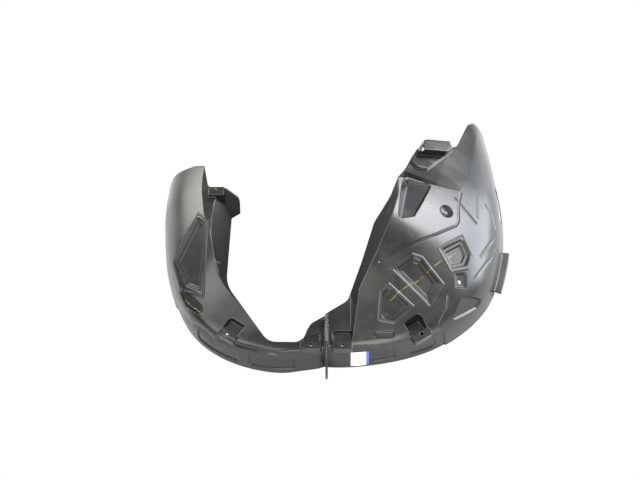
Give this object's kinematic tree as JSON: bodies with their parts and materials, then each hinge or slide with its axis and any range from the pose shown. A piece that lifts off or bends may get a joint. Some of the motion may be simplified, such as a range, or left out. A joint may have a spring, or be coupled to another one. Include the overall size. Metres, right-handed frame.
{
  "type": "splash shield",
  "caption": "Moulded plastic wheel arch splash shield of a rear and a front shell joined at a crown seam, with pressed pockets, screw bosses and a suspension cut-out.",
  "frame": {"origin": "middle of the shield's footprint, on the floor that its outboard rim lies on", "axes": "+X from the rear shell to the front shell, -Y to the crown of the arch, +Z along the wheel axis, away from the outboard rim"},
  "size_m": [0.8238, 0.6722, 0.1918],
  "materials": {
    "shell_plastic": "satin moulded black, dusty",
    "rivet_plastic": "plain moulded black"
  },
  "bodies": {
    "root": {"rear_half": "shell_plastic", "front_half": "shell_plastic", "seam_rivet": "rivet_plastic"}
  },
  "joints": []
}
